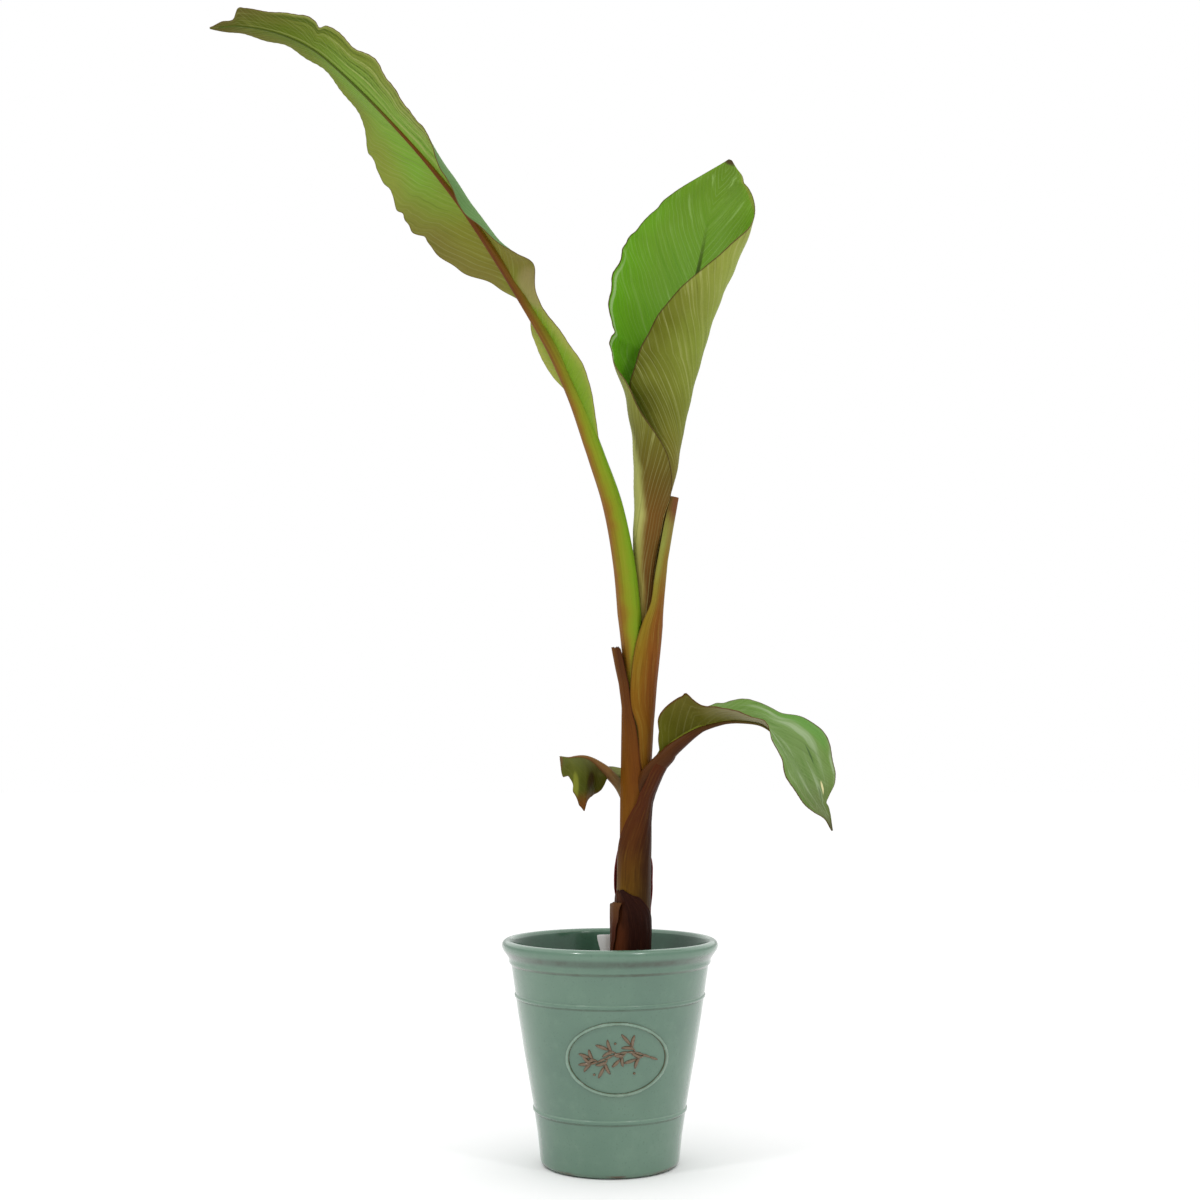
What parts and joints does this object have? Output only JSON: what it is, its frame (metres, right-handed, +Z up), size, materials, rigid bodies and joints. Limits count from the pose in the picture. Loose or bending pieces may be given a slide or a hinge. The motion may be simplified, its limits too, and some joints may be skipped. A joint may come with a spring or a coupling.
{
  "type": "potted banana plant",
  "caption": "Young banana plant in a glazed sage-green pot, with a long arching leaf, a new leaf unrolling, low drooping leaves, cut leaf sheaths on the stem and a blank label.",
  "frame": {"origin": "centre of the pot's flat underside", "axes": "+Z up along the stem, +X to the right as seen from the front, -Y to the front with the pot's oval"},
  "size_m": [0.687, 0.2828, 1.252],
  "materials": {
    "pot_glaze": "gloss",
    "potting_mix": "matte",
    "label_plastic": "satin",
    "stem_flesh": "satin",
    "sheath_brown": "satin",
    "sheath_dark": "satin",
    "stalk_green": "satin",
    "blade_olive": "satin",
    "blade_green": "satin",
    "blade_low": "satin"
  },
  "bodies": {
    "root": {"pot": "pot_glaze", "soil": "potting_mix", "plant_label": "label_plastic", "pseudostem": "stem_flesh", "left_cut_sheath": "sheath_brown", "right_cut_stalk": "stalk_green", "right_leaf_stalk": "sheath_dark", "base_sheath_front": "sheath_dark", "base_sheath_left": "sheath_brown", "base_sheath_back": "sheath_brown", "big_left_leaf_stalk": "stalk_green", "big_left_leaf_blade": "blade_olive", "new_leaf_roll": "stem_flesh", "new_leaf_blade": "blade_green", "right_leaf_blade_inner": "blade_low", "right_leaf_blade_outer": "blade_low", "left_small_leaf_stalk": "stem_flesh", "left_small_leaf_blade": "blade_low"}
  },
  "joints": []
}
